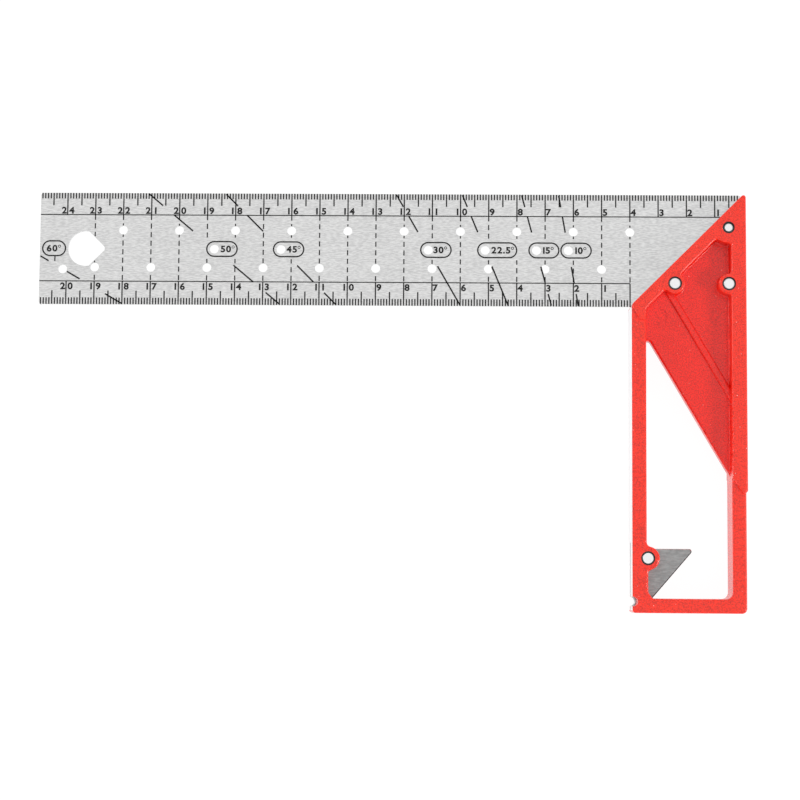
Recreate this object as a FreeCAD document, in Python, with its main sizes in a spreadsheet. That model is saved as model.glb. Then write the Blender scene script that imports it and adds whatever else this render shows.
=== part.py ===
import FreeCAD, Part
import os
import re

import Sketcher

# Try-and-mitre square: a die-cast stock (handle) that holds a flat steel rule blade,
# with a small support ledge that swings out of the free end of the stock.
#
# Drawing frame used by every sketch, in millimetres: the origin is the inner corner of the
# square, where the registration face (x = 0) meets the lower edge of the blade (y = 0).
# The blade runs towards -X, the stock hangs towards -Y, and z = 0 is the middle plane of
# both. Each body's Placement then moves that frame so that the whole part stands on z = 0
# with its bounding box centred on the Z axis.

SIZES = {
    # blade
    "blade_reach": 209.6,        # free length from the registration face
    "blade_width": 40.0,
    "blade_thick": 1.2,
    "blade_corner": 1.0,         # rounding of the free corners
    "blade_heel": 2.0,           # rounding of the corner hidden in the stock's apex
    "pencil_radius": 1.6,
    "pencil_pitch": 20.0,        # between holes of one row
    "pencil_count": 10,
    "lower_row": 13.33,          # height of the lower row of pencil holes
    "upper_row": 26.67,
    "first_lower": 190.0,        # distance of the outermost lower hole from the stock
    "first_upper": 180.0,
    "angle_row": 20.0,           # height of the row of angle holes
    "hang_x": 193.3,             # hanging hole, distance from the registration face
    "hang_radius": 6.3,
    "hang_flat": 5.2,            # distance of its two 45 degree flats from its centre
    "hang_tip": 1.2,             # rounding where the flats meet
    # stock
    "stock_width": 40.0,
    "stock_drop": 107.4,         # length of the stock below the blade
    "rim_thick": 16.0,           # raised rim round the blade joint
    "loop_thick": 13.5,          # lower loop of the handle
    "web_thick": 5.0,            # recessed web that clamps the blade
    "loop_inset": 0.4,           # the loop's outer face lies behind the rim's
    "rail_width": 5.05,          # inner rail, above the ledge
    "low_rail_width": 5.5,       # inner rail, below the ledge's boss
    "outer_rail": 5.35,
    "sole_width": 5.0,           # rail at the free end
    "rim_land": 6.5,             # width of the rim under the mitre, measured along X
    "web_edge_x": 7.4,           # a point on the web's slanted lower edge
    "web_edge_drop": 13.5,
    "web_slope": 30.4,           # angle of that edge from the registration face
    "web_peak": 1.7,             # width of the level land at that edge's upper end
    "web_peak_round": 1.2,
    "rib_offset": 14.6,          # rib centre line from the web's edge, square to it
    "rib_width": 2.5,
    "rib_rise": 0.9,
    "rib_round": 0.7,            # rounding along each side of the rib
    "rib_start": 15.0,           # the rib starts this far above the web edge's named point
    "rib_end": 33.0,             # and ends this far below it, inside the outer rail
    "cast_extra": 1.2,           # stock that is machined off the two gauging faces
    "apex_land": 6.0,            # height over which machining rounds the outer face's top
    "foot_land": 4.0,            # width over which it rounds the free end
    "margin": 2.0,               # cuts run this far past the part
    "corner_round": 2.2,
    "apex_round": 0.9,
    "foot_round": 1.2,
    "foot_slant_x": 1.5,         # slanted corner of the hand window, beside the sole
    "foot_slant_y": 2.2,
    "ledge_boss_round": 1.6,     # where the ledge's boss meets the inner rail
    "heel_round": 1.8,
    "window_heel": 2.4,
    "pocket_round": 1.5,
    "edge_round": 0.8,           # loop edges, front and back
    "rim_round": 0.8,            # rim edges, front and back
    "rim_nose_drop": 0.4,        # the rim's left end, at the registration face
    "rim_end_drop": 5.3,         # its slanted foot on the inner rail
    "rim_end_width": 2.3,
    "rim_end_tail": 5.6,
    "rim_end_round": 0.9,
    "rim_inner_drop": 60.6,      # the rim's slanted right end, on the inner wall
    "rim_tip_drop": 66.7,        # and at its tip, which stands
    "rim_tip_inset": 1.3,        # this far inside the outer face
    "rim_outer_drop": 65.0,      # and on the outer face
    "web_edge_round": 1.0,       # along the web's slanted edge
    "floor_round": 0.5,          # where the rim's and bosses' walls meet the web
    "machined_round": 0.25,      # along the edges of the machined faces
    "boss_radius": 3.6,
    "boss_blend": 1.0,
    "top_boss_radius": 5.45,
    "slot_gap": 0.06,            # between blade and slot, each side
    "slot_end_gap": 0.15,        # below the blade's edge
    "scallop_radius": 1.67,
    "scallop_drop": 103.45,
    "scallop_x": 0.23,           # its centre lies this far inside the face
    "pin_mark_radius": 3.0,      # ejector-pin marks on the web
    "pin_mark_depth": 0.3,
    # rivets
    "rivet_radius": 1.95,
    "top_rivet_radius": 1.5,
    "rivet_fit": 0.02,           # radial clearance in the holes
    "rivet_inset": 0.1,          # rivet ends below the rim's faces
    "ring_width": 0.36,          # open ring round each rivet end
    "top_ring_width": 0.52,      # the one round the top rivet is wider
    "ring_depth": 0.6,
    "rivet_edge": 0.2,
    "dimple_radius": 1.1,
    "dimple_depth": 0.25,
    "left_rivet_x": 15.04,
    "left_rivet_y": 7.41,
    "right_rivet_x": 33.88,
    "right_rivet_y": 7.37,
    "top_rivet_x": 33.85,
    "top_rivet_y": 27.23,
    # ledge and its pivot
    "pivot_x": 5.45,
    "pivot_drop": 88.5,
    "pivot_radius": 2.0,
    "pivot_gap": 0.05,           # radial running clearance in the ledge
    "ledge_boss": 4.1,
    "ledge_thick": 1.2,
    "ledge_inset": 0.1,          # the ledge lies this far behind the registration face
    "ledge_rise": 3.4,           # its upper edge above the pivot
    "ledge_tip_x": 22.26,
    "ledge_foot_x": 3.15,
    "ledge_foot_drop": 107.3,
    "ledge_tip_round": 0.9,
    "ledge_nose_round": 1.1,
    "ledge_bevel": 0.3,
    "nail_notch_x": 0.5,         # nail notch centre outside the face
    "ledge_front_gap": 0.1,
    "ledge_back_gap": 0.45,      # room for the spring washer
    "ledge_stop_gap": 0.15,      # to the slot's end, which stops the opened ledge
    "ledge_slot_x": 14.5,
    "ledge_slot_drop": 104.9,
    "ledge_corner_x": 5.6,
    "washer_hole": 2.2,
    "washer_radius": 3.6,
    "washer_thick": 0.2,
    "washer_dish": 0.17,
}

# Angle holes: distance of each from the registration face, on the angle row.
ANGLE_HOLES = (147.45, 123.7, 71.4, 51.2, 33.05, 21.75)
# The steepest angle has its hole near the free end, below the others.
STEEP_HOLE = (201.4, 12.6)
# Ejector-pin marks on the web.
PIN_MARKS = ((30.7, 17.4), (9.9, -3.8), (30.6, -3.7))

# Two lengths or levels count as equal within this many millimetres.
SAME = 0.01

MIDDLE_SHIFT = {
    "x": "(blade_reach - stock_width) / 2",
    "y": "(stock_drop - blade_width) / 2",
    "z": "rim_thick / 2",
}

doc = FreeCAD.newDocument("try_and_mitre_square")
sheet = doc.addObject("Spreadsheet::Sheet", "Dimensions")
for row, (name, size) in enumerate(SIZES.items(), start=1):
    sheet.set("A%d" % row, name)
    sheet.set("B%d" % row, str(size))
    sheet.setAlias("B%d" % row, name)
doc.recompute()

parts = []


# ---------------------------------------------------------------- small helpers

def bound(formula):
    """Formula in the names above -> FreeCAD expression that reads the sheet."""
    return re.sub(r"[a-z_]+", lambda m: "Dimensions." + m[0] if m[0] in SIZES else m[0], str(formula))


def value(formula):
    """Present value of a formula."""
    result = sheet.evalExpression(bound(formula))
    return float(getattr(result, "Value", result))


def bind(target, path, formula):
    target.setExpression(path, bound(formula))


def new_body(label, at_x="0", at_y="0"):
    """Body whose own origin is the point (at_x, at_y) of the drawing frame."""
    body = doc.addObject("PartDesign::Body", label)
    body.Label = label
    bind(body, "Placement.Base.x", "%s + %s" % (MIDDLE_SHIFT["x"], at_x))
    bind(body, "Placement.Base.y", "%s + %s" % (MIDDLE_SHIFT["y"], at_y))
    bind(body, "Placement.Base.z", MIDDLE_SHIFT["z"])
    parts.append(body)
    return body


def origin_plane(body, role):
    return next(f for f in body.Origin.OriginFeatures if f.Role == role)


def new_sketch(body, name, height="0", plane="XY_Plane"):
    """Sketch on one of the body's origin planes, lifted by a formula."""
    sketch = body.newObject("Sketcher::SketchObject", name)
    sketch.AttachmentSupport = [(origin_plane(body, plane), "")]
    sketch.MapMode = "FlatFace"
    bind(sketch, "AttachmentOffset.Base.z", height)
    return sketch


def constrain(sketch, kind, *where, formula):
    index = sketch.addConstraint(Sketcher.Constraint(kind, *where, value(formula)))
    bind(sketch, "Constraints[%d]" % index, formula)


def pin_point(sketch, element, end, x, y):
    """Hold one end of an element at (x, y) from the sketch's origin."""
    constrain(sketch, "DistanceX", -1, 1, element, end, formula=x)
    constrain(sketch, "DistanceY", -1, 1, element, end, formula=y)


def draw_polygon(sketch, corners):
    """Closed outline. Each corner is (x, y) or (x, y, radius); radius rounds it."""
    first = sketch.GeometryCount
    count = len(corners)
    spots = [FreeCAD.Vector(value(c[0]), value(c[1]), 0) for c in corners]
    for i in range(count):
        sketch.addGeometry(Part.LineSegment(spots[i], spots[(i + 1) % count]))
    for i in range(count):
        sketch.addConstraint(Sketcher.Constraint("Coincident", first + i, 2, first + (i + 1) % count, 1))
    for i in range(count):
        pin_point(sketch, first + i, 1, corners[i][0], corners[i][1])
    for i in range(count):
        if len(corners[i]) > 2:
            round_corner(sketch, first + i, corners[i][2])


def round_corner(sketch, line, radius):
    """Round the corner at the start of a line."""
    before = sketch.GeometryCount
    sketch.fillet(line, 1, value(radius), True, True)
    arc = next(i for i in range(before, sketch.GeometryCount)
               if isinstance(sketch.Geometry[i], Part.ArcOfCircle))
    constrain(sketch, "Radius", arc, formula=radius)


def draw_circle(sketch, x, y, radius):
    centre = FreeCAD.Vector(value(x), value(y), 0)
    element = sketch.addGeometry(Part.Circle(centre, FreeCAD.Vector(0, 0, 1), value(radius)))
    pin_point(sketch, element, 3, x, y)
    constrain(sketch, "Radius", element, formula=radius)


def add_pad(body, sketch, name, length):
    """Solid of the sketch, half of it on each side."""
    pad = body.newObject("PartDesign::Pad", name)
    pad.Profile = sketch
    pad.SideType = "Symmetric"
    bind(pad, "Length", length)
    doc.recompute()
    return pad


def add_pocket(body, sketch, name, length, side="Symmetric"):
    """Cut of the sketch; it has to remove something."""
    before = body.Shape.Volume
    pocket = body.newObject("PartDesign::Pocket", name)
    pocket.Profile = sketch
    pocket.SideType = side
    bind(pocket, "Length", length)
    doc.recompute()
    if body.Shape.Volume > before - SAME:
        raise RuntimeError(name + " cuts nothing")
    return pocket


def mirror_to_back(body, feature, name):
    mirror = body.newObject("PartDesign::Mirrored", name)
    mirror.Originals = [feature]
    mirror.MirrorPlane = (origin_plane(body, "XY_Plane"), [""])
    body.Tip = mirror
    doc.recompute()


def treat_edges(body, kind, name, radius, chosen):
    """Fillet or Chamfer on the edges of the present shape that chosen(edge) accepts."""
    names = ["Edge%d" % (i + 1) for i, edge in enumerate(body.Shape.Edges) if chosen(edge)]
    if not names:
        raise RuntimeError(name + " finds no edge")
    base = body.Tip
    feature = body.newObject("PartDesign::" + kind, name)
    feature.Base = (base, names)
    bind(feature, "Size" if kind == "Chamfer" else "Radius", radius)
    doc.recompute()
    if "Invalid" in feature.State or body.Shape.isNull() or not body.Shape.isValid():
        raise RuntimeError("%s fails on %d edges" % (name, len(names)))
    return feature


def local_box(body, piece):
    """Bounding box in the drawing frame of a piece of the body's shape."""
    box = piece.BoundBox
    box.move(body.Placement.Base.negative())
    return box


def foot_of_wall_at(body, height, right_of):
    """Test for edges of the web's faces at +-height that a high upright wall rises from."""

    def chosen(edge):
        if abs(abs(flat_level(body, edge)) - height) > SAME or local_box(body, edge).Center.x < right_of:
            return False
        boxes = [local_box(body, face) for face in body.Shape.ancestorsOfType(edge, Part.Face)]
        return any(max(box.ZMax, -box.ZMin) > value("rim_thick / 2") - SAME for box in boxes)
    return chosen


def flat_level(body, edge):
    """Height of a level edge in the drawing frame; 0 for an edge that isn't level."""
    box = local_box(body, edge)
    return box.Center.z if box.ZLength < SAME else 0


def upright_at(body, *places):
    """Test for edges that stand along Z close to one of the places (x, y)."""
    reach = 8 * SAME

    def chosen(edge):
        box = local_box(body, edge)
        if box.ZLength < SAME or box.XLength > reach or box.YLength > reach:
            return False
        return any(abs(box.Center.x - value(x)) < reach and abs(box.Center.y - value(y)) < reach
                   for x, y in places)
    return chosen


def outer_edge_at(body, height):
    """Test for edges of the front and back faces at +-height that nothing rises from.

    Edges beyond the two gauging faces are left alone, as machining takes them away.
    """

    def chosen(edge):
        middle = local_box(body, edge).Center
        if abs(abs(flat_level(body, edge)) - height) > SAME or middle.x < 0 or middle.y > middle.x:
            return False
        boxes = [local_box(body, face) for face in body.Shape.ancestorsOfType(edge, Part.Face)]
        return all(max(box.ZMax, -box.ZMin) < height + SAME for box in boxes)
    return chosen


# ---------------------------------------------------------------- handle

# Rivets through the stock: place and shank radius; the last one is the ledge's pivot.
RIVETS = (
    ("left_rivet_x", "left_rivet_y", "rivet_radius"),
    ("right_rivet_x", "right_rivet_y", "rivet_radius"),
    ("top_rivet_x", "top_rivet_y", "top_rivet_radius"),
    ("pivot_x", "-pivot_drop", "pivot_radius"),
)

INNER_X = "stock_width - outer_rail"
LOOP_X = "stock_width - loop_inset"


def web_edge_at(x):
    """Height of the web's slanted edge at x."""
    return "(web_edge_x - (%s)) / tan(web_slope) - web_edge_drop" % x


def along_web(run, across):
    """Point `run` down the web's edge from its reference point and `across` from it."""
    x = "web_edge_x + (%s) * sin(web_slope) + (%s) * cos(web_slope)" % (run, across)
    y = "-web_edge_drop - (%s) * cos(web_slope) + (%s) * sin(web_slope)" % (run, across)
    return x, y


def build_handle():
    body = new_body("handle")

    # Lower loop: outer outline of the casting and the opening inside its rails.
    sketch = new_sketch(body, "loop_outline")
    draw_polygon(sketch, (
        ("-cast_extra", "-stock_drop"),
        (LOOP_X, "-stock_drop", "heel_round"),
        (LOOP_X, LOOP_X + " + cast_extra * sqrt(2)"),
        ("-cast_extra", "cast_extra * (sqrt(2) - 1)"),
    ))
    draw_polygon(sketch, (
        ("rail_width", "rail_width - rim_land", "pocket_round"),
        ("rail_width", "-pivot_drop"),
        ("low_rail_width", "-pivot_drop"),
        ("low_rail_width", "-stock_drop + sole_width + foot_slant_y", "pocket_round"),
        ("low_rail_width + foot_slant_x", "-stock_drop + sole_width", "foot_round"),
        (INNER_X, "-stock_drop + sole_width", "window_heel"),
        (INNER_X, INNER_X + " - rim_land"),
    ))
    add_pad(body, sketch, "loop", "loop_thick")

    sketch = new_sketch(body, "ledge_boss_outline")
    draw_circle(sketch, "pivot_x", "-pivot_drop", "ledge_boss")
    add_pad(body, sketch, "ledge_boss", "loop_thick")
    chord = "sqrt(pow(ledge_boss; 2) - pow(pivot_x - %s; 2))"
    above = ("rail_width", "-pivot_drop + " + chord % "rail_width")
    below = ("low_rail_width", "-pivot_drop - " + chord % "low_rail_width")
    treat_edges(body, "Fillet", "ledge_boss_blend", "ledge_boss_round", upright_at(body, above, below))

    # Web between the rails; its slanted lower edge is the top of the hand window.
    sketch = new_sketch(body, "web_outline")
    left = "rail_width / 2"
    right = "stock_width - outer_rail / 2"
    peak = "rail_width + web_peak"
    draw_polygon(sketch, (
        (peak, web_edge_at(peak), "web_peak_round"),
        (left, web_edge_at(peak)),
        (left, left + " - rim_land / 2"),
        (right, right + " - rim_land / 2"),
        (right, web_edge_at(right)),
    ))
    add_pad(body, sketch, "web", "web_thick")
    web_level = value("web_thick / 2")
    treat_edges(body, "Fillet", "web_edges", "web_edge_round", outer_edge_at(body, web_level))

    # Raised rim round the blade joint, open towards the hand window.
    sketch = new_sketch(body, "rim_outline")
    draw_polygon(sketch, (
        ("-cast_extra", "-rim_nose_drop"),
        ("0", "-rim_nose_drop"),
        ("rail_width - rim_end_width", "-rim_end_drop", "rim_end_round"),
        ("rail_width", "-rim_end_tail"),
        ("rail_width", "rail_width - rim_land", "pocket_round"),
        (INNER_X, INNER_X + " - rim_land"),
        (INNER_X, "-rim_inner_drop"),
        ("stock_width - rim_tip_inset", "-rim_tip_drop", "rim_end_round"),
        ("stock_width", "-rim_outer_drop"),
        ("stock_width", "stock_width + cast_extra * sqrt(2)"),
        ("-cast_extra", "cast_extra * (sqrt(2) - 1)"),
    ))
    add_pad(body, sketch, "rim", "rim_thick")

    # Bosses that carry the blade rivets.
    sketch = new_sketch(body, "boss_outlines")
    draw_circle(sketch, "left_rivet_x", "left_rivet_y", "boss_radius")
    draw_circle(sketch, "right_rivet_x", "right_rivet_y", "boss_radius")
    draw_circle(sketch, "top_rivet_x", "top_rivet_y", "top_boss_radius")
    add_pad(body, sketch, "bosses", "rim_thick")
    treat_edges(body, "Fillet", "boss_blends", "boss_blend", where_boss_meets_wall(body))

    # Low rib along the web.
    sketch = new_sketch(body, "rib_outline")
    near = "rib_offset - rib_width / 2"
    far = "rib_offset + rib_width / 2"
    draw_polygon(sketch, (along_web("-rib_start", near), along_web("-rib_start", far),
                          along_web("rib_end", far), along_web("rib_end", near)))
    add_pad(body, sketch, "rib", "web_thick + 2 * rib_rise")
    crest = value("web_thick / 2 + rib_rise")
    longest_end = value("3 * rib_width")
    treat_edges(body, "Fillet", "rib_flanks", "rib_round",
                lambda edge: abs(abs(flat_level(body, edge)) - crest) < SAME and edge.Length > longest_end)

    # The foot of the walls round the recess, from the left boss on, is rounded too.
    treat_edges(body, "Fillet", "recess_floor", "floor_round",
                foot_of_wall_at(body, web_level, value("left_rivet_x")))

    # Cast edges, front and back.
    rim_level = value("rim_thick / 2")
    loop_level = value("loop_thick / 2")
    treat_edges(body, "Fillet", "rim_edges", "rim_round", outer_edge_at(body, rim_level))
    treat_edges(body, "Fillet", "loop_edges", "edge_round", outer_edge_at(body, loop_level))

    # The two gauging faces are machined square after casting.
    sketch = new_sketch(body, "machining_outline")
    draw_polygon(sketch, (
        ("0", "-stock_drop", "foot_round"),
        ("0", "0", "corner_round"),
        ("stock_width", "stock_width", "apex_round"),
        ("stock_width", "stock_width - apex_land"),
        ("stock_width + margin", "stock_width - apex_land"),
        ("stock_width + margin", "stock_width + margin"),
        ("-margin", "stock_width + margin"),
        ("-margin", "-stock_drop - margin"),
        ("foot_land", "-stock_drop - margin"),
        ("foot_land", "-stock_drop"),
    ))
    add_pocket(body, sketch, "machined_faces", "rim_thick + margin")

    sketch = new_sketch(body, "scallop_outline")
    draw_circle(sketch, "scallop_x", "-scallop_drop", "scallop_radius")
    add_pocket(body, sketch, "thumb_scallop", "rim_thick + margin")

    treat_edges(body, "Fillet", "machined_edges", "machined_round", where_machined(body))

    # Slot for the blade, open at the mitre, the apex and the outer face.
    sketch = new_sketch(body, "blade_slot_outline")
    draw_polygon(sketch, (
        ("-margin", "-slot_end_gap"),
        ("stock_width + margin", "-slot_end_gap"),
        ("stock_width + margin", "blade_width + margin"),
        ("-margin", "blade_width + margin"),
    ))
    add_pocket(body, sketch, "blade_slot", "blade_thick + 2 * slot_gap")

    # Slot for the ledge, through the inner rail and into the sole.
    sketch = new_sketch(body, "ledge_slot_outline", "(ledge_front_gap - ledge_back_gap) / 2")
    stop_rise = "-pivot_drop + pivot_x - ledge_inset + ledge_stop_gap"
    draw_polygon(sketch, (
        ("-margin", "-stock_drop - margin"),
        ("ledge_corner_x", "-stock_drop - margin"),
        ("ledge_corner_x", "-ledge_slot_drop"),
        ("ledge_slot_x", "-ledge_slot_drop"),
        ("ledge_slot_x", stop_rise),
        ("-margin", stop_rise),
    ))
    add_pocket(body, sketch, "ledge_slot", "ledge_thick + ledge_front_gap + ledge_back_gap")

    # Rivet holes, each with an open ring round the rivet's two ends.
    sketch = new_sketch(body, "rivet_holes_outline")
    for x, y, radius in RIVETS:
        draw_circle(sketch, x, y, radius + " + rivet_fit")
    add_pocket(body, sketch, "rivet_holes", "rim_thick + margin")
    for name, level, width, holes in (("blade", "rim_thick", "ring_width", RIVETS[:2]),
                                      ("top", "rim_thick", "top_ring_width", RIVETS[2:3]),
                                      ("pivot", "loop_thick", "ring_width", RIVETS[3:])):
        sketch = new_sketch(body, name + "_ring_outline", level + " / 2")
        for x, y, radius in holes:
            draw_circle(sketch, x, y, radius + " + " + width)
        ring = add_pocket(body, sketch, name + "_rings", "ring_depth", "One side")
        mirror_to_back(body, ring, name + "_rings_back")

    sketch = new_sketch(body, "pin_mark_outline", "web_thick / 2")
    for x, y in PIN_MARKS:
        draw_circle(sketch, x, y, "pin_mark_radius")
    marks = add_pocket(body, sketch, "pin_marks", "pin_mark_depth", "One side")
    mirror_to_back(body, marks, "pin_marks_back")
    return body


def where_machined(body):
    """Test for the long edges, front and back, of the registration and mitre faces."""
    levels = (value("rim_thick / 2"), value("loop_thick / 2"))
    shortest = value("stock_width / 2")

    def chosen(edge):
        level = abs(flat_level(body, edge))
        if edge.Length < shortest or min(abs(level - known) for known in levels) > SAME:
            return False
        middle = local_box(body, edge).Center
        return abs(middle.x) < SAME or abs(middle.x - middle.y) < SAME
    return chosen


def where_boss_meets_wall(body):
    """Test for upright edges between a rivet boss and a flat wall of the rim."""
    boss_radii = (value("boss_radius"), value("top_boss_radius"))

    def chosen(edge):
        if local_box(body, edge).ZLength < SAME or not isinstance(edge.Curve, Part.Line):
            return False
        surfaces = [face.Surface for face in body.Shape.ancestorsOfType(edge, Part.Face)]
        round_walls = [s for s in surfaces if isinstance(s, Part.Cylinder)
                       and any(abs(s.Radius - radius) < SAME for radius in boss_radii)]
        flat_walls = [s for s in surfaces if isinstance(s, Part.Plane)]
        return bool(round_walls) and bool(flat_walls)
    return chosen


# ---------------------------------------------------------------- blade

def build_blade():
    body = new_body("blade")
    sketch = new_sketch(body, "blade_outline")
    draw_polygon(sketch, (
        ("-blade_reach", "0", "blade_corner"),
        ("stock_width", "0"),
        ("stock_width", "blade_width", "blade_heel"),
        ("-blade_reach", "blade_width", "blade_corner"),
    ))
    add_pad(body, sketch, "plate", "blade_thick")

    sketch = new_sketch(body, "pencil_holes_outline")
    draw_circle(sketch, "-first_lower", "lower_row", "pencil_radius")
    draw_circle(sketch, "-first_upper", "upper_row", "pencil_radius")
    holes = add_pocket(body, sketch, "pencil_holes", "blade_thick + margin")
    row = body.newObject("PartDesign::LinearPattern", "pencil_rows")
    row.Originals = [holes]
    row.Direction = (origin_plane(body, "X_Axis"), [""])
    bind(row, "Length", "pencil_pitch * (pencil_count - 1)")
    bind(row, "Occurrences", "pencil_count")
    body.Tip = row
    doc.recompute()

    sketch = new_sketch(body, "angle_holes_outline")
    for x in ANGLE_HOLES:
        draw_circle(sketch, -x, "angle_row", "pencil_radius")
    draw_circle(sketch, -STEEP_HOLE[0], STEEP_HOLE[1], "pencil_radius")
    add_pocket(body, sketch, "angle_holes", "blade_thick + margin")

    sketch = new_sketch(body, "blade_rivet_outline")
    for x, y, radius in RIVETS[:3]:
        draw_circle(sketch, x, y, radius + " + rivet_fit")
    add_pocket(body, sketch, "blade_rivet_holes", "blade_thick + margin")

    sketch = new_sketch(body, "hanging_hole_outline")
    draw_hanging_hole(sketch)
    add_pocket(body, sketch, "hanging_hole", "blade_thick + margin")
    return body


def draw_hanging_hole(sketch):
    """Round hole whose side towards the stock is two 45 degree flats with a rounded tip."""
    centre = FreeCAD.Vector(-value("hang_x"), value("angle_row"), 0)
    radius = value("hang_radius")
    half_chord = "sqrt(pow(hang_radius; 2) - pow(hang_flat; 2))"
    end_x = "(hang_flat - %s) / sqrt(2)" % half_chord
    end_y = "(hang_flat + %s) / sqrt(2)" % half_chord
    tip = centre + FreeCAD.Vector(value("hang_flat * sqrt(2)"), 0, 0)
    upper = centre + FreeCAD.Vector(value(end_x), value(end_y), 0)
    lower = centre + FreeCAD.Vector(value(end_x), -value(end_y), 0)
    far_side = centre - FreeCAD.Vector(radius, 0, 0)
    first = sketch.GeometryCount
    sketch.addGeometry(Part.LineSegment(tip, upper))
    sketch.addGeometry(Part.Arc(upper, far_side, lower))
    sketch.addGeometry(Part.LineSegment(lower, tip))
    pin_point(sketch, first, 1, "hang_flat * sqrt(2) - hang_x", "angle_row")
    pin_point(sketch, first, 2, end_x + " - hang_x", "angle_row + " + end_y)
    pin_point(sketch, first + 2, 1, end_x + " - hang_x", "angle_row - " + end_y)
    sketch.addConstraint(Sketcher.Constraint("Coincident", first, 2, first + 1, 1))
    sketch.addConstraint(Sketcher.Constraint("Coincident", first + 1, 2, first + 2, 1))
    sketch.addConstraint(Sketcher.Constraint("Coincident", first + 2, 2, first, 1))
    constrain(sketch, "Radius", first + 1, formula="hang_radius")
    round_corner(sketch, first, "hang_tip")


# ---------------------------------------------------------------- rivets

def build_rivet(label, x, y, radius, length, dimpled=False):
    """Flush rivet, round in section, standing through the stock."""
    body = new_body(label, x, y)
    sketch = new_sketch(body, label + "_outline")
    draw_circle(sketch, "0", "0", radius)
    add_pad(body, sketch, label + "_shank", length)
    half = value(length) / 2
    treat_edges(body, "Chamfer", label + "_edges", "rivet_edge",
                lambda edge: abs(abs(flat_level(body, edge)) - half) < SAME)
    if dimpled:
        sketch = new_sketch(body, label + "_dimple_outline", "(%s) / 2" % length)
        draw_circle(sketch, "0", "0", "dimple_radius")
        dimple = add_pocket(body, sketch, label + "_dimple", "dimple_depth", "One side")
        mirror_to_back(body, dimple, label + "_dimple_back")
    return body


# ---------------------------------------------------------------- ledge and its washer

def build_ledge():
    body = new_body("ledge")
    sketch = new_sketch(body, "ledge_outline")
    draw_polygon(sketch, (
        ("ledge_inset", "ledge_rise - pivot_drop", "ledge_rise"),
        ("ledge_tip_x", "ledge_rise - pivot_drop", "ledge_tip_round"),
        ("ledge_foot_x", "-ledge_foot_drop", "ledge_tip_round"),
        ("ledge_inset", "-ledge_foot_drop", "ledge_nose_round"),
    ))
    add_pad(body, sketch, "ledge_plate", "ledge_thick")

    sketch = new_sketch(body, "nail_notch_outline")
    draw_circle(sketch, "-nail_notch_x", "-scallop_drop", "scallop_radius")
    add_pocket(body, sketch, "nail_notch", "ledge_thick + margin")

    level = value("ledge_thick / 2")
    treat_edges(body, "Chamfer", "ledge_bevels", "ledge_bevel",
                lambda edge: abs(abs(flat_level(body, edge)) - level) < SAME)

    sketch = new_sketch(body, "ledge_bore_outline")
    draw_circle(sketch, "pivot_x", "-pivot_drop", "pivot_radius + pivot_gap")
    add_pocket(body, sketch, "ledge_bore", "ledge_thick + margin")
    return body


def build_washer():
    """Dished spring washer that fills the gap behind the ledge."""
    body = new_body("ledge_spring_washer", "pivot_x", "(-pivot_drop)")
    sketch = new_sketch(body, "washer_section", plane="XZ_Plane")
    room = "(ledge_thick / 2 + (ledge_back_gap + washer_thick + washer_dish) / 2)"
    low = "-" + room
    draw_polygon(sketch, (
        ("washer_hole", low + " + washer_dish"),
        ("washer_radius", low),
        ("washer_radius", low + " + washer_thick"),
        ("washer_hole", low + " + washer_dish + washer_thick"),
    ))
    ring = body.newObject("PartDesign::Revolution", "washer_ring")
    ring.Profile = sketch
    ring.ReferenceAxis = (sketch, ["V_Axis"])
    ring.Angle = 360
    doc.recompute()
    return body


# ---------------------------------------------------------------- assembly

build_handle()
build_blade()
blade_rivet_length = "rim_thick - 2 * rivet_inset"
pivot_length = "loop_thick - 2 * rivet_inset"
build_rivet("blade_rivet_left", *RIVETS[0], blade_rivet_length)
build_rivet("blade_rivet_right", *RIVETS[1], blade_rivet_length)
build_rivet("blade_rivet_top", *RIVETS[2], blade_rivet_length, dimpled=True)
build_rivet("ledge_rivet", *RIVETS[3], pivot_length)
build_ledge()
build_washer()
doc.recompute()

for item in doc.Objects:
    if "Invalid" in item.State or "Error" in item.State:
        raise RuntimeError("%s is in state %s" % (item.Label, item.State))
for part in parts:
    if part.Shape.isNull() or not part.Shape.isValid() or len(part.Shape.Solids) != 1:
        raise RuntimeError(part.Label + " isn't one valid solid")

os.makedirs("parts", exist_ok=True)
for part in parts:
    part.Shape.exportStep("parts/%s.step" % part.Label)
    box = part.Shape.BoundBox
    print("%-20s %9.1f mm3   x %7.2f %7.2f   y %7.2f %7.2f   z %6.2f %6.2f" % (
        part.Label, part.Shape.Volume, box.XMin, box.XMax, box.YMin, box.YMax, box.ZMin, box.ZMax))
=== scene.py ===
import math
from collections import namedtuple

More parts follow.
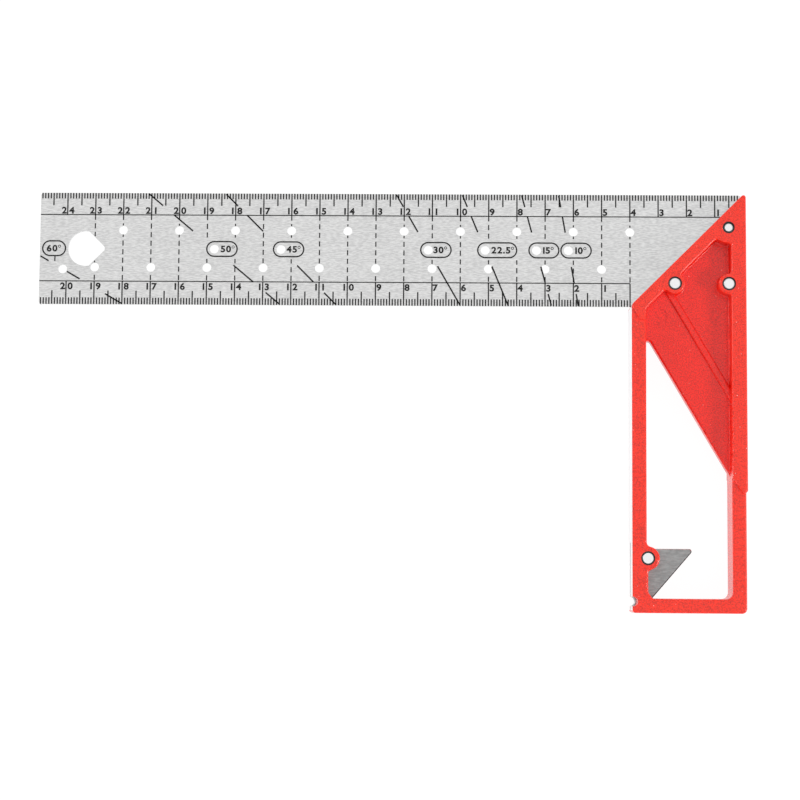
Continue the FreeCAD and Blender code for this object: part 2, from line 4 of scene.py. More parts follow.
import bmesh
import bpy
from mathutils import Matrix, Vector


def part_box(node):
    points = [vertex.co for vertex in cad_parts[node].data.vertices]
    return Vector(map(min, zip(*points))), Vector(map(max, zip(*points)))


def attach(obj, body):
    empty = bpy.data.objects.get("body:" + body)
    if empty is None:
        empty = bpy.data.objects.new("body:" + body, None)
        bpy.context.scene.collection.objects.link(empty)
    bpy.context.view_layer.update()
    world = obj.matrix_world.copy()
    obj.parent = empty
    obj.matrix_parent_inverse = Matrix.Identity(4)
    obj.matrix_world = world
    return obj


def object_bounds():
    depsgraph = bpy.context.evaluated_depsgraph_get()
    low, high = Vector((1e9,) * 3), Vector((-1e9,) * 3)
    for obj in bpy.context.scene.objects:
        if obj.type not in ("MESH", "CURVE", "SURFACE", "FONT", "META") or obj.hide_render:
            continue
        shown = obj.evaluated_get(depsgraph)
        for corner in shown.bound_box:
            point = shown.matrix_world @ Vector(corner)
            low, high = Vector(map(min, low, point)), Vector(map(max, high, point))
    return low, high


# Try-and-mitre square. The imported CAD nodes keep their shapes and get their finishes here;
# the blade's etched scales, angle lines and labels are added as thin closed slabs.
#
# Marks are laid out in millimetres from the inner corner of the square, where the
# registration face of the stock (x = 0) meets the lower edge of the blade (y = 0).
# Seen from the front, the blade runs to the left, so places along it are negative in x.

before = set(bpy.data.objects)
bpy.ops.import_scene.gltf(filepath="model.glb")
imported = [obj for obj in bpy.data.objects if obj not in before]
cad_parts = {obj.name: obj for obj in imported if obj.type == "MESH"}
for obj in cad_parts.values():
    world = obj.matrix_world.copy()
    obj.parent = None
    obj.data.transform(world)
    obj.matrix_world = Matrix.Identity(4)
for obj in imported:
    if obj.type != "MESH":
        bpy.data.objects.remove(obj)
cad_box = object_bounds()

MM = 0.001
BODY = "square"

handle_low, handle_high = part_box("handle")
blade_low, blade_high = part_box("blade")
CORNER_X = handle_low.x
CORNER_Y = blade_low.y
BLADE_WIDTH = (blade_high.y - blade_low.y) / MM
FREE_END = (blade_low.x - CORNER_X) / MM
STOCK_WIDTH = (handle_high.x - CORNER_X) / MM
HALF_STOCK = (handle_high.z - handle_low.z) / 2
MIDDLE_Z = (blade_low.z + blade_high.z) / 2

FRONT, BACK = 1, -1
SIDE_NAMES = {FRONT: "front", BACK: "back"}


# ---------------------------------------------------------------- layout of the marks

MARK_RISE = 0.012        # how far the marks stand proud of the blade
MARK_SINK = 0.010        # how far they reach into it

# Widths of the etched lines.
TICK_WIDTH = 0.48
CM_WIDTH = 0.46
RULE_WIDTH = 0.37
DASH_WIDTH = 0.44
ANGLE_WIDTH = 0.55
OVAL_WIDTH = 0.50

# The two scales: their long ruled lines, and the lengths of their short lines.
UPPER_RULE = 32.15
LOWER_RULE = 8.28
ShortLines = namedtuple("ShortLines", "millimetre half_centimetre")
UPPER_TICKS = ShortLines(2.05, 4.5)
LOWER_TICKS = ShortLines(2.4, 4.9)
UPPER_LAST = 24          # last centimetre number of each scale
LOWER_LAST = 20

# Numbers of the scales: height, place of their feet, and from a number's centimetre line
# the middles of its tens (a 1 or a 2), of its units, and of a number with one digit.
DIGIT_HEIGHT = 2.5
UPPER_BASE = UPPER_RULE + 0.32
LOWER_BASE = LOWER_RULE - 0.55 - DIGIT_HEIGHT
TENS_PLACE = {"1": -1.05, "2": -1.2}
UNITS_PLACE = 1.45
SINGLE_PLACE = 1.2

# Shapes of all digits.
DIGIT_BOLDNESS = 0.04    # how far the outline is moved outwards, in the font's own units
DIGIT_WIDEN = 1.1        # how much wider a digit is than in the font
DIGIT_GAP = 0.12         # gap between two digits, as a share of their height
DIGIT_STEPS = 5          # fineness of a digit's curves

# The blade's holes: two rows at an even pitch, and a row of angle holes. A row's outermost
# hole is the one farthest from the stock.
HOLE_RADIUS = 1.6
PITCH = 20.0
HoleRow = namedtuple("HoleRow", "height outermost count")
LOWER_ROW = HoleRow(13.33, 190.0, 10)
UPPER_ROW = HoleRow(26.67, 180.0, 10)
ANGLE_ROW = 20.0         # height of the angle holes and of their labels

# Dashed lines at the centimetres of the lower scale.
DASHED_LINES = 20
DASH_PERIOD = 3.09
DASH_LENGTH = 1.85
HUNG_LINE = -190.0       # the centimetre line that the hanging hole interrupts,
HUNG_HALF = 4.35         # and half the length that it takes out

# Each angle's line goes through its hole, which shares an oval with its label.
# hole: distance from the inner corner; oval and label: from the hole's centre to the oval's
# far side and to the start of the number.
Angle = namedtuple("Angle", "name degrees hole oval label")
ANGLES = (
    Angle("50", 50.0, 147.45, 8.15, 2.3),
    Angle("45", 45.0, 123.7, 8.1, 1.95),
    Angle("30", 30.0, 71.4, 8.1, 1.85),
    Angle("22.5", 22.5, 51.2, 11.15, 2.2),
    Angle("15", 15.0, 33.05, 7.9, 2.3),
    Angle("10", 10.0, 21.75, 8.05, 2.4),
)
OVAL_RADIUS = 2.65
OVAL_CLEAR = 0.9         # plain metal left round an oval
OVAL_STEPS = 16          # straight pieces in each round end
LABEL_HEIGHT = 2.45

# Degree sign: a small ring beyond the number's end and above its foot.
DEGREE_RADIUS = 0.42
DEGREE_WIDTH = 0.24
DEGREE_BEYOND = 0.72
DEGREE_ABOVE = 1.95
DEGREE_STEPS = 20

# Pairs of heights between which the angle lines are drawn, from the blade's upper edge down.
# Below the ovals, two of the lines run on to the lower edge, and the others stop at the rule
# and start again among the short lines of the scale.
EDGE_GAP = 0.25          # the lines end this far from the blade's edges
BELOW_OVALS = 14.2
TOP_SPAN = (BLADE_WIDTH - EDGE_GAP, 35.5)
MIDDLE_SPAN = (UPPER_RULE, 26.4)
ANGLE_SPANS = (TOP_SPAN, MIDDLE_SPAN, (BELOW_OVALS, LOWER_RULE), (4.5, EDGE_GAP))
JOINED_SPANS = (TOP_SPAN, MIDDLE_SPAN, (BELOW_OVALS, EDGE_GAP))
JOINED = ("30", "22.5")

# The 60 degree line has its hole below the row, so its oval holds only the label, and a short
# pointer leads down from it. The oval starts at the centre of its left round end.
STEEP_NAME = "60"
STEEP_DEGREES = 60.0
STEEP_HOLE_X = -201.4
STEEP_HOLE_Y = 12.6
STEEP_SPANS = ((17.2, 15.5), (11.7, 9.0), (3.75, 0.34))
STEEP_OVAL_START = -206.0
STEEP_OVAL_LENGTH = 5.5
STEEP_LABEL_INSET = 1.2  # the label starts this far before the centre of the first round end
POINTER_PLACE = 1.8      # the pointer stands this far to the right of the oval's start
POINTER_FOOT = 15.4


# ---------------------------------------------------------------- digits

def solid_letter(letter):
    """Mesh of one character, from Blender's built-in font."""
    curve = bpy.data.curves.new("glyph", "FONT")
    curve.body = letter
    curve.extrude = 0.5
    curve.offset = DIGIT_BOLDNESS
    curve.resolution_u = DIGIT_STEPS
    holder = bpy.data.objects.new("glyph", curve)
    bpy.context.scene.collection.objects.link(holder)
    bpy.context.view_layer.update()
    mesh = bpy.data.meshes.new_from_object(holder)
    bpy.data.objects.remove(holder)
    bpy.data.curves.remove(curve)
    return mesh


def read_glyphs(letters):
    """Points, faces and width of each character, where the first one is one unit high."""
    meshes = {letter: solid_letter(letter) for letter in letters}
    heights = [v.co.y for v in meshes[letters[0]].vertices]
    foot = min(heights)
    unit = max(heights) - foot
    glyphs = {}
    for letter, mesh in meshes.items():
        left = min(v.co.x for v in mesh.vertices)
        points = []
        for v in mesh.vertices:
            points.append(((v.co.x - left) / unit * DIGIT_WIDEN, (v.co.y - foot) / unit, v.co.z > 0))
        glyphs[letter] = {
            "points": points,
            "faces": [tuple(f.vertices) for f in mesh.polygons],
            "width": max(p[0] for p in points),
        }
        bpy.data.meshes.remove(mesh)
    return glyphs


GLYPHS = read_glyphs("0123456789.")


def length_of(words):
    """Length of some words as a share of their height."""
    return sum(GLYPHS[letter]["width"] + DIGIT_GAP for letter in words) - DIGIT_GAP


# ---------------------------------------------------------------- slabs

class Marks:
    """Thin closed slabs on one face of the blade, gathered into one mesh."""

    def __init__(self, side):
        self.side = side
        self.points = []
        self.faces = []
        self.face_z = blade_high.z if side == FRONT else blade_low.z

    def add_point(self, x, y, level):
        z = self.face_z + self.side * level * MM
        self.points.append((CORNER_X + x * MM, CORNER_Y + y * MM, z))

    def ribbon(self, path, width, closed=False):
        """Band of even width along a path of (x, y) points."""
        count = len(path)
        first = len(self.points)
        for i in range(count):
            here = Vector(path[i])
            before = Vector(path[i - 1]) if i or closed else here - (Vector(path[1]) - here)
            after = Vector(path[(i + 1) % count]) if i < count - 1 or closed else here + (here - before)
            onward = (after - here).normalized()
            along = ((here - before).normalized() + onward).normalized()
            across = Vector((-along.y, along.x)) * width / 2
            stretch = 1 / max(along.dot(onward), 0.5)
            left = here + across * stretch
            right = here - across * stretch
            corners = ((left, MARK_RISE), (right, MARK_RISE), (right, -MARK_SINK), (left, -MARK_SINK))
            for spot, level in corners:
                self.add_point(spot.x, spot.y, level)
        for i in range(count if closed else count - 1):
            a = first + 4 * i
            b = first + 4 * ((i + 1) % count)
            for j in range(4):
                k = (j + 1) % 4
                self.faces.append((a + j, a + k, b + k, b + j))
        if not closed:
            last = first + 4 * (count - 1)
            self.faces.append((first + 3, first + 2, first + 1, first))
            self.faces.append((last, last + 1, last + 2, last + 3))

    def line(self, x0, y0, x1, y1, width):
        self.ribbon(((x0, y0), (x1, y1)), width)

    def ring(self, x, y, radius, width, steps):
        turns = [2 * math.pi * i / steps for i in range(steps)]
        path = [(x + radius * math.cos(turn), y + radius * math.sin(turn)) for turn in turns]
        self.ribbon(path, width, closed=True)

    def text(self, words, x, y, height):
        """Words with their foot at y that start at x, which is their left end seen from this side."""
        for letter in words:
            glyph = GLYPHS[letter]
            first = len(self.points)
            for px, py, top in glyph["points"]:
                level = MARK_RISE if top else -MARK_SINK
                self.add_point(x + self.side * px * height, y + py * height, level)
            for face in glyph["faces"]:
                self.faces.append(tuple(first + i for i in face))
            x += self.side * (glyph["width"] + DIGIT_GAP) * height

    def finish(self, name, material):
        mesh = bpy.data.meshes.new(name)
        mesh.from_pydata(self.points, [], self.faces)
        piece = bpy.data.objects.new(name, mesh)
        bpy.context.scene.collection.objects.link(piece)
        tidy_mesh(mesh)
        mesh.materials.append(material)
        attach(piece, BODY)


def tidy_mesh(mesh):
    """Joins points that coincide and turns all faces outwards."""
    work = bmesh.new()
    work.from_mesh(mesh)
    bmesh.ops.remove_doubles(work, verts=work.verts, dist=0.0005 * MM)
    bmesh.ops.recalc_face_normals(work, faces=work.faces)
    work.to_mesh(mesh)
    work.free()


# ---------------------------------------------------------------- node helpers

def new_material(name):
    material = bpy.data.materials.new(name)
    material.use_nodes = True
    return material, material.node_tree, material.node_tree.nodes["Principled BSDF"]


def give(tree, socket, given):
    """Sets an input to a plain value, or links another node's socket to it."""
    if isinstance(given, bpy.types.NodeSocket):
        tree.links.new(given, socket)
    else:
        socket.default_value = given


def add_node(tree, kind, settings=None, inputs=None):
    made = tree.nodes.new("ShaderNode" + kind)
    for key, setting in (settings or {}).items():
        setattr(made, key, setting)
    for key, given in (inputs or {}).items():
        give(tree, made.inputs[key], given)
    return made


def object_place(tree, scale=(1, 1, 1)):
    """Position on the part in metres, stretched by a scale."""
    source = add_node(tree, "TexCoord")
    return add_node(tree, "Mapping", inputs={"Vector": source.outputs["Object"], "Scale": scale}).outputs[0]


def coordinates(tree, kind):
    """X, Y and Z of the position ("Object") or of the direction faced ("Normal")."""
    source = add_node(tree, "TexCoord")
    parts = add_node(tree, "SeparateXYZ", inputs={"Vector": source.outputs[kind]})
    return parts.outputs["X"], parts.outputs["Y"], parts.outputs["Z"]


def noise(tree, scale, detail=2.0, rough=0.5, stretch=(1, 1, 1)):
    return add_node(tree, "TexNoise", inputs={
        "Vector": object_place(tree, stretch), "Scale": scale, "Detail": detail, "Roughness": rough,
    }).outputs["Fac"]


def ramp(tree, factor, stops):
    """Colour ramp from (position, colour) stops; a colour may be one grey number."""
    made = add_node(tree, "ValToRGB", inputs={"Fac": factor})
    elements = made.color_ramp.elements
    while len(elements) < len(stops):
        elements.new(0.5)
    for element, (position, colour) in zip(elements, stops):
        element.position = position
        element.color = (*([colour] * 3 if isinstance(colour, (int, float)) else colour), 1)
    return made.outputs["Color"]


def calc(tree, operation, *values):
    made = add_node(tree, "Math", {"operation": operation})
    for i, given in enumerate(values):
        give(tree, made.inputs[i], given)
    return made.outputs[0]


def within(tree, value, middle, reach):
    """1 where a value lies within reach of the middle, else 0."""
    return calc(tree, "LESS_THAN", calc(tree, "ABSOLUTE", calc(tree, "SUBTRACT", value, middle)), reach)


def mix(tree, factor, a, b, blend="MIX"):
    made = add_node(tree, "Mix", {"data_type": "RGBA", "blend_type": blend})
    for index, given in ((0, factor), (6, a), (7, b)):
        give(tree, made.inputs[index], given)
    return made.outputs[2]


def bump(tree, height, strength, distance):
    return add_node(tree, "Bump", inputs={
        "Height": height, "Strength": strength, "Distance": distance}).outputs[0]


def vary(tree, factor, low, high):
    """Factor 0..1 -> low..high."""
    return add_node(tree, "MapRange", inputs={"Value": factor, "To Min": low, "To Max": high}).outputs[0]


# ---------------------------------------------------------------- powder coat of the stock

DEEP_RED = (0.93, 0.020, 0.003)
BRIGHT_RED = (1.0, 0.026, 0.005)
# Tint multiplied in as painted shade deep in the recess.
RECESS_SHADE_TINT = (1.0, 0.50, 0.40, 1)
SPECK = (1.0, 0.78, 0.74, 1)
# Near-black painted shade in the rings round the rivet ends.
RIVET_RING_SHADE = (0.006, 0.004, 0.004, 1)

# Width of the dark ring of painted shade round each rivet's ends: over the open ring in the stock, and on the
# edge of the coat beside it.
RINGS = {"blade_rivet_top": 0.60, "blade_rivet_left": 0.44, "blade_rivet_right": 0.44, "ledge_rivet": 0.44}

FACE_REACH = 0.1         # a machined face is found within this distance of its plane
SQUARE_ON = 0.97         # and where it faces its own way at least this much
SLANTED_ON = 1.35        # the same for the mitre, whose full value is the square root of 2
SLOT_REACH = 1.2         # the sawn slots lie within this distance of the middle plane
SLOT_WALL = 4.5          # and show up to this far behind the registration face


def powder_coat():
    """Red powder coat with a fine grain, with painted shade deep in the recess and round the rivet ends; the
    two machined gauging faces are bare metal.
    """
    material, tree, shader = new_material("powder_coat_red")
    grain = noise(tree, 2200, 2.0, 0.6)
    cloud = noise(tree, 260, 3.0, 0.6)
    red = ramp(tree, cloud, ((0.3, DEEP_RED), (0.7, BRIGHT_RED)))
    dark = ramp(tree, grain, ((0.32, 0.55), (0.58, 1.0)))
    red = mix(tree, 1.0, red, dark, "MULTIPLY")
    specks = ramp(tree, noise(tree, 1300, 1.0), ((0.77, 0.0), (0.80, 1.0)))
    red = mix(tree, calc(tree, "MULTIPLY", specks, 0.7), red, SPECK)
    # Painted shade: the recess is tinted deeper red, darker in green and blue, where less light and sheen
    # reach it.
    red = mix(tree, recess_mask(tree), red, mix(tree, 1.0, red, RECESS_SHADE_TINT, "MULTIPLY"))
    # Painted shade: a near-black ring round each rivet end.
    red = mix(tree, rivet_ring_mask(tree), red, RIVET_RING_SHADE)

    bare = machined_mask(tree)
    milling = noise(tree, 1, 3.0, 0.6, (300, 300, 9000))
    metal = ramp(tree, milling, ((0.3, 0.80), (0.7, 0.94)))
    tree.links.new(mix(tree, bare, red, metal), shader.inputs["Base Color"])
    tree.links.new(bare, shader.inputs["Metallic"])
    rough = mix(tree, bare, ramp(tree, grain, ((0.3, 0.27), (0.7, 0.18))), (0.36, 0.36, 0.36, 1))
    shader.inputs["Specular IOR Level"].default_value = 0.62
    tree.links.new(rough, shader.inputs["Roughness"])
    height = mix(tree, bare, grain, calc(tree, "MULTIPLY", milling, 0.25))
    tree.links.new(bump(tree, height, 0.5, 0.00012), shader.inputs["Normal"])
    return material


def height_from_middle(tree):
    """Distance from the middle plane of the blade, in metres."""
    _, _, level = coordinates(tree, "Object")
    return calc(tree, "ABSOLUTE", calc(tree, "SUBTRACT", level, MIDDLE_Z))


def recess_mask(tree):
    """Painted shade: 1 deep in the recess, where the coat is tinted deeper red for the shade and lost sheen
    there, 0 on the rim and the rails.
    """
    share = calc(tree, "DIVIDE", height_from_middle(tree), HALF_STOCK)
    return ramp(tree, share, ((0.55, 1.0), (0.80, 0.0)))


def machined_mask(tree):
    """1 on the registration face, the mitre face and in the sawn slots, 0 on the coat."""
    x, y, _ = coordinates(tree, "Object")
    facing_x, facing_y, _ = coordinates(tree, "Normal")
    square_on = calc(tree, "LESS_THAN", facing_x, -SQUARE_ON)
    registration = calc(tree, "MULTIPLY", within(tree, x, CORNER_X, FACE_REACH * MM), square_on)
    along = calc(tree, "SUBTRACT", y, x)
    slanted_on = calc(tree, "GREATER_THAN", calc(tree, "SUBTRACT", facing_y, facing_x), SLANTED_ON)
    mitre = calc(tree, "MULTIPLY", within(tree, along, CORNER_Y - CORNER_X, FACE_REACH * MM), slanted_on)
    level_with_slot = calc(tree, "LESS_THAN", height_from_middle(tree), SLOT_REACH * MM)
    near_face = calc(tree, "LESS_THAN", x, CORNER_X + SLOT_WALL * MM)
    slots = calc(tree, "MULTIPLY", level_with_slot, near_face)
    return calc(tree, "MAXIMUM", calc(tree, "MAXIMUM", registration, mitre), slots)


def rivet_ring_mask(tree):
    """1 inside the open rings round the rivet ends and on the coat just beside them, where shade is painted
    as a near-black ring.
    """
    x, y, _ = coordinates(tree, "Object")
    flat = add_node(tree, "CombineXYZ", inputs={"X": x, "Y": y}).outputs[0]
    found = 0.0
    for rivet, ring in RINGS.items():
        low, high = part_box(rivet)
        centre = ((low.x + high.x) / 2, (low.y + high.y) / 2, 0)
        reach = (high.x - low.x) / 2 + ring * MM
        away = add_node(tree, "VectorMath", {"operation": "DISTANCE"}, {0: flat, 1: centre}).outputs["Value"]
        found = calc(tree, "MAXIMUM", found, calc(tree, "LESS_THAN", away, reach))
    return found


# ---------------------------------------------------------------- metals

# Near-black painted shade for the ledge's outward bevels.
EDGE_SHADE_BLACK = (0.03, 0.03, 0.03, 1)


def brushed_steel(name, tone, spread, rough, stretch, bump_strength=0.12, painted_shade_edge=False):
    """Metal with fine straight scratches. stretch: scratches per metre along X, Y and Z.

    The edge switch paints black shade on the bevels that face away from the stock's inner corner.
    """
    material, tree, shader = new_material(name)
    fine = noise(tree, 1, 2.0, 0.5, stretch)
    coarse = noise(tree, 1, 2.0, 0.5, tuple(s * 0.22 for s in stretch))
    cloud = noise(tree, 45, 2.0)
    streak = calc(tree, "ADD", calc(tree, "MULTIPLY", fine, 0.85), calc(tree, "MULTIPLY", coarse, 0.15))
    low, high = tone - spread, tone + spread
    colour = ramp(tree, streak, ((0.38, (low, low, low)), (0.62, (high, high, high * 0.995))))
    shade = ramp(tree, cloud, ((0.3, 0.965), (0.7, 1.0)))
    colour = mix(tree, 1.0, colour, shade, "MULTIPLY")
    # Painted shade: bevels facing away from the stock's inner corner are coloured near-black.
    if painted_shade_edge:
        facing_x, facing_y, _ = coordinates(tree, "Normal")
        outward = calc(tree, "SUBTRACT", facing_x, facing_y)
        colour = mix(tree, calc(tree, "GREATER_THAN", outward, 0.5), colour, EDGE_SHADE_BLACK)
    tree.links.new(colour, shader.inputs["Base Color"])
    shader.inputs["Metallic"].default_value = 1.0
    tree.links.new(vary(tree, streak, rough + 0.1, rough - 0.08), shader.inputs["Roughness"])
    tree.links.new(bump(tree, streak, bump_strength, 0.00004), shader.inputs["Normal"])
    return material


def ground_rivet(node):
    """Bright rivet end with faint rings from being faced off, centred on that rivet."""
    low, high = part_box(node)
    material, tree, shader = new_material("ground_" + node)
    source = add_node(tree, "TexCoord")
    centred = add_node(tree, "Mapping", inputs={
        "Vector": source.outputs["Object"], "Location": (-(low.x + high.x) / 2, -(low.y + high.y) / 2, 0)})
    rings = add_node(tree, "TexWave", {"wave_type": "RINGS", "rings_direction": "Z"}, {
        "Vector": centred.outputs[0], "Scale": 900, "Distortion": 1.5, "Detail": 2.0}).outputs["Fac"]
    grain = noise(tree, 1800, 3.0)
    tone = ramp(tree, calc(tree, "MULTIPLY", rings, grain), ((0.1, 0.90), (0.5, 0.98)))
    tree.links.new(tone, shader.inputs["Base Color"])
    shader.inputs["Metallic"].default_value = 1.0
    tree.links.new(vary(tree, grain, 0.22, 0.42), shader.inputs["Roughness"])
    tree.links.new(bump(tree, rings, 0.08, 0.00003), shader.inputs["Normal"])
    return material


# ---------------------------------------------------------------- other materials

FLOOR_GLOW = 0.95


def etched_black():
    """Dark etched and filled marks, a little uneven."""
    material, tree, shader = new_material("etched_marks")
    patchy = noise(tree, 1400, 2.0)
    tree.links.new(ramp(tree, patchy, ((0.3, 0.004), (0.75, 0.02))), shader.inputs["Base Color"])
    shader.inputs["Specular IOR Level"].default_value = 0.25
    tree.links.new(vary(tree, patchy, 0.5, 0.7), shader.inputs["Roughness"])
    return material


def pale_floor():
    """White table lit from below, as in a light tent, so that it stays white under the part."""
    material, tree, shader = new_material("pale_floor")
    tone = ramp(tree, noise(tree, 12, 2.0), ((0.3, 0.11), (0.7, 0.12)))
    tree.links.new(tone, shader.inputs["Base Color"])
    shader.inputs["Roughness"].default_value = 0.9
    shader.inputs["Specular IOR Level"].default_value = 0.0
    shader.inputs["Emission Color"].default_value = (1, 1, 1, 1)
    shader.inputs["Emission Strength"].default_value = FLOOR_GLOW
    return material


def dress(node, material):
    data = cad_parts[node].data
    data.materials.clear()
    data.materials.append(material)


dress("handle", powder_coat())
dress("blade", brushed_steel(
    "blade_steel", tone=0.75, spread=0.10, rough=0.38, stretch=(620, 3000, 3000), bump_strength=0.2))
dress("ledge", brushed_steel(
    "ledge_steel", tone=0.35, spread=0.05, rough=0.38, stretch=(500, 1800, 1800), painted_shade_edge=True))
dress("ledge_spring_washer", brushed_steel(
    "washer_steel", tone=0.5, spread=0.04, rough=0.3, stretch=(2500, 2500, 900)))
for rivet in RINGS:
    dress(rivet, ground_rivet(rivet))
ink = etched_black()


# ---------------------------------------------------------------- scales and numbers

def upper_x(cm):
    """Place of a centimetre of the upper scale, which counts from the stock's outer face."""
    return STOCK_WIDTH - 10 * cm


def tick_length(x, lengths):
    return lengths.half_centimetre if x % 5 == 0 else lengths.millimetre


def draw_scales(side):
    """Ruled and short lines of both scales. The upper ones end at the stock's mitre, where x = y."""
    marks = Marks(side)
    top = BLADE_WIDTH
    marks.line(FREE_END, UPPER_RULE, UPPER_RULE, UPPER_RULE, RULE_WIDTH)
    marks.line(FREE_END, LOWER_RULE, 0, LOWER_RULE, RULE_WIDTH)
    first = math.ceil(FREE_END)
    for x in range(first, int(STOCK_WIDTH)):
        low, width = top - tick_length(x, UPPER_TICKS), TICK_WIDTH
        if x % 10 == 0:
            low, width = UPPER_RULE, CM_WIDTH
        marks.line(x, top, x, max(low, x), width)
    for x in range(first, 1):
        high, width = tick_length(x, LOWER_TICKS), TICK_WIDTH
        if x % 10 == 0:
            high, width = LOWER_RULE, CM_WIDTH
        marks.line(x, 0, x, high, width)
    marks.finish("scales_" + SIDE_NAMES[side], ink)


def draw_numerals(side):
    marks = Marks(side)
    for cm in range(1, UPPER_LAST + 1):
        scale_number(marks, cm, upper_x(cm), UPPER_BASE)
    for cm in range(1, LOWER_LAST + 1):
        scale_number(marks, cm, -10 * cm, LOWER_BASE)
    marks.finish("numerals_" + SIDE_NAMES[side], ink)


def scale_number(marks, cm, x, base):
    """Centimetre number beside its line; the tens stand on the other side of it."""
    digits = str(cm)
    places = (SINGLE_PLACE,) if len(digits) == 1 else (TENS_PLACE[digits[0]], UNITS_PLACE)
    for digit, place in zip(digits, places):
        start = place - length_of(digit) * DIGIT_HEIGHT / 2
        marks.text(digit, x + marks.side * start, base, DIGIT_HEIGHT)


# ---------------------------------------------------------------- dashed lines

def rows_of_holes():
    holes = [(-angle.hole, ANGLE_ROW) for angle in ANGLES]
    for row in (LOWER_ROW, UPPER_ROW):
        holes += [(-row.outermost + PITCH * i, row.height) for i in range(row.count)]
    return holes


def draw_dashes(side):
    """Dashed line across the blade at each centimetre, clear of the holes and ovals."""
    marks = Marks(side)
    holes = rows_of_holes()
    ovals = oval_ends(side)
    beside = OVAL_RADIUS + OVAL_CLEAR / 2
    for cm in range(DASHED_LINES):
        x = -10.0 * cm
        gaps = [(y, HOLE_RADIUS) for hole_x, y in holes if abs(hole_x - x) < HOLE_RADIUS / 2]
        gaps += [(ANGLE_ROW, OVAL_RADIUS + OVAL_CLEAR) for a, b in ovals if a - beside < x < b + beside]
        if x == HUNG_LINE:
            gaps.append((ANGLE_ROW, HUNG_HALF))
        high = UPPER_RULE
        while high > LOWER_RULE:
            low = max(high - DASH_LENGTH, LOWER_RULE)
            for a, b in parts_outside(low, high, gaps):
                marks.line(x, a, x, b, DASH_WIDTH)
            high -= DASH_PERIOD
    marks.finish("centimetre_dashes_" + SIDE_NAMES[side], ink)


def parts_outside(low, high, gaps):
    """What is left of the span low..high outside gaps given as (centre, half length)."""
    spans = [(low, high)]
    for centre, half in gaps:
        cut = []
        for a, b in spans:
            cut += [(a, min(b, centre - half)), (max(a, centre + half), b)]
        spans = [(a, b) for a, b in cut if b - a > DASH_WIDTH / 2]
    return spans


# ---------------------------------------------------------------- angle lines, ovals and labels

def draw_angle_lines(side):
    marks = Marks(side)
    for angle in ANGLES:
        spans = JOINED_SPANS if angle.name in JOINED else ANGLE_SPANS
        slanted_line(marks, -angle.hole, ANGLE_ROW, angle.degrees, spans)
    slanted_line(marks, STEEP_HOLE_X, STEEP_HOLE_Y, STEEP_DEGREES, STEEP_SPANS)
    marks.finish("angle_lines_" + SIDE_NAMES[side], ink)


def slanted_line(marks, hole_x, hole_y, degrees, spans):
    """Line through a hole's centre, drawn only between the given pairs of heights."""
    slope = math.tan(math.radians(degrees))
    for high, low in spans:
        marks.line(hole_x + (hole_y - high) * slope, high, hole_x + (hole_y - low) * slope, low, ANGLE_WIDTH)


def oval_ends(side):
    """Centres of the two round ends of each oval, from left to right in x; the 60 degree one is last."""
    ends = []
    for angle in ANGLES:
        near = -angle.hole
        far = near + side * (angle.oval - OVAL_RADIUS)
        ends.append((min(near, far), max(near, far)))
    ends.append((STEEP_OVAL_START, STEEP_OVAL_START + STEEP_OVAL_LENGTH - OVAL_RADIUS))
    return ends


def draw_ovals(side):
    marks = Marks(side)
    for left, right in oval_ends(side):
        path = []
        for centre, start in ((right, -90), (left, 90)):
            for i in range(OVAL_STEPS + 1):
                turn = math.radians(start + 180 * i / OVAL_STEPS)
                path.append((centre + OVAL_RADIUS * math.cos(turn), ANGLE_ROW + OVAL_RADIUS * math.sin(turn)))
        marks.ribbon(path, OVAL_WIDTH, closed=True)
    pointer = STEEP_OVAL_START + POINTER_PLACE
    marks.line(pointer, ANGLE_ROW - OVAL_RADIUS, pointer, POINTER_FOOT, DASH_WIDTH)
    marks.finish("angle_ovals_" + SIDE_NAMES[side], ink)


def draw_angle_labels(side):
    marks = Marks(side)
    for angle in ANGLES:
        angle_label(marks, angle.name, -angle.hole + side * angle.label)
    left, right = oval_ends(side)[-1]
    steep_start = left if side == FRONT else right
    angle_label(marks, STEEP_NAME, steep_start - side * STEEP_LABEL_INSET)
    marks.finish("angle_labels_" + SIDE_NAMES[side], ink)


def angle_label(marks, name, x):
    """Number with a degree sign; x is its left end, seen from this side."""
    base = ANGLE_ROW - LABEL_HEIGHT / 2
    marks.text(name, x, base, LABEL_HEIGHT)
    beyond = length_of(name) * LABEL_HEIGHT + DEGREE_BEYOND
    marks.ring(x + marks.side * beyond, base + DEGREE_ABOVE, DEGREE_RADIUS, DEGREE_WIDTH, DEGREE_STEPS)


for side in (FRONT, BACK):
    draw_scales(side)
    draw_numerals(side)
    draw_dashes(side)
    draw_angle_lines(side)
    draw_ovals(side)
    draw_angle_labels(side)


# ---------------------------------------------------------------- floor, light, camera

FLOOR_REACH = 3.0
FLOOR_GAP = 0.02         # the floor lies this far below the part, in millimetres

WORLD_PEAK = 3.0
# (height above the horizon, share of the peak brightness)
WORLD_LEVELS = ((0.0, 1.0), (0.15, 1.0), (0.26, 0.14), (0.70, 0.19), (0.84, 0.30), (1.0, 0.31))

LENS = 90.0
SENSOR = 36.0
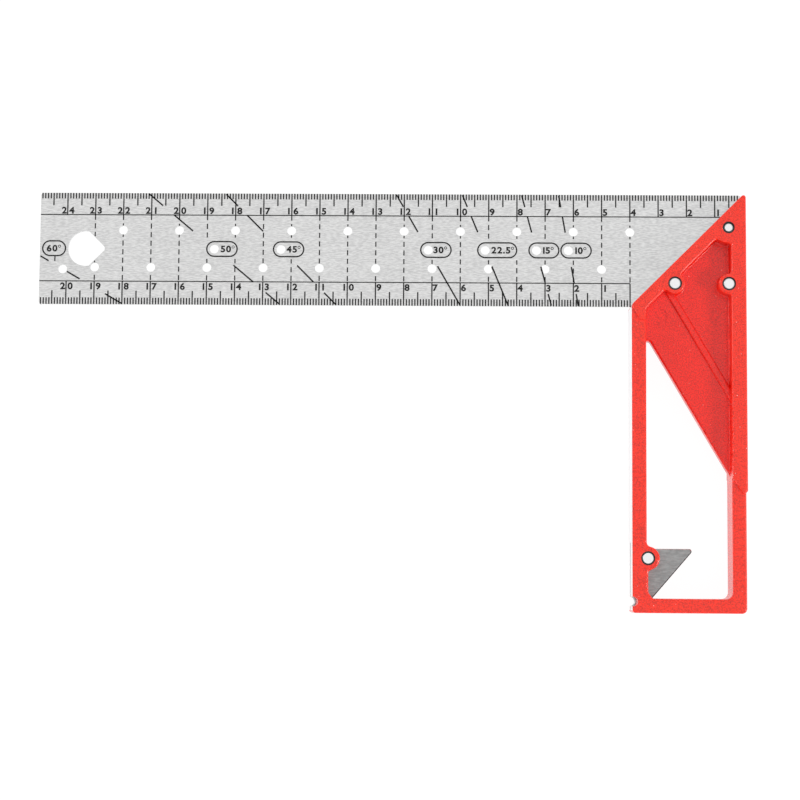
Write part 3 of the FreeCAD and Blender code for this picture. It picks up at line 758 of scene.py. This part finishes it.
# Millimetres from the inner corner and above the blade's face, and degrees about X, Y and Z.
CAMERA_PLACE = (-66.775, -98.399, 701.436)
CAMERA_TILT = (5.28526, 1.15502, 0.35311)


def make_floor():
    mesh = bpy.data.meshes.new("floor")
    corners = [(-1, -1), (1, -1), (1, 1), (-1, 1)]
    mesh.from_pydata([(x * FLOOR_REACH, y * FLOOR_REACH, 0) for x, y in corners], [], [(0, 1, 2, 3)])
    floor = bpy.data.objects.new("floor", mesh)
    floor.location.z = cad_box[0].z - FLOOR_GAP * MM
    bpy.context.scene.collection.objects.link(floor)
    mesh.materials.append(pale_floor())


def make_light(name, place, size, power):
    """Round lamp that points at the middle of the part."""
    data = bpy.data.lights.new(name, "AREA")
    data.shape = "DISK"
    data.size = size
    data.energy = power
    lamp = bpy.data.objects.new(name, data)
    lamp.location = place
    lamp.rotation_euler = (-Vector(place)).to_track_quat("-Z", "Y").to_euler()
    bpy.context.scene.collection.objects.link(lamp)


def make_world():
    """White surroundings: a bright band along the horizon, dimmer walls and a bright ceiling."""
    world = bpy.data.worlds.new("studio")
    world.use_nodes = True
    tree = world.node_tree
    background = tree.nodes["Background"]
    _, _, upward = coordinates(tree, "Generated")
    tree.links.new(ramp(tree, upward, WORLD_LEVELS), background.inputs["Color"])
    background.inputs["Strength"].default_value = WORLD_PEAK
    bpy.context.scene.world = world


def make_camera():
    """Long lens, almost square over the blade, a little off to the stock's free end."""
    data = bpy.data.cameras.new("camera")
    data.sensor_width = SENSOR
    data.lens = LENS
    data.clip_start = 0.01
    data.clip_end = 20.0
    camera = bpy.data.objects.new("camera", data)
    x, y, z = CAMERA_PLACE
    camera.location = (CORNER_X + x * MM, CORNER_Y + y * MM, blade_high.z + z * MM)
    camera.rotation_mode = "ZYX"
    camera.rotation_euler = tuple(math.radians(angle) for angle in CAMERA_TILT)
    bpy.context.scene.collection.objects.link(camera)
    bpy.context.scene.camera = camera


make_floor()
make_world()
make_light("key", place=(1.45, -0.45, 0.95), size=0.5, power=13.0)
make_light("left", place=(-1.6, 0.6, 0.7), size=0.5, power=7.0)
make_camera()
bpy.context.scene.view_settings.view_transform = "Standard"
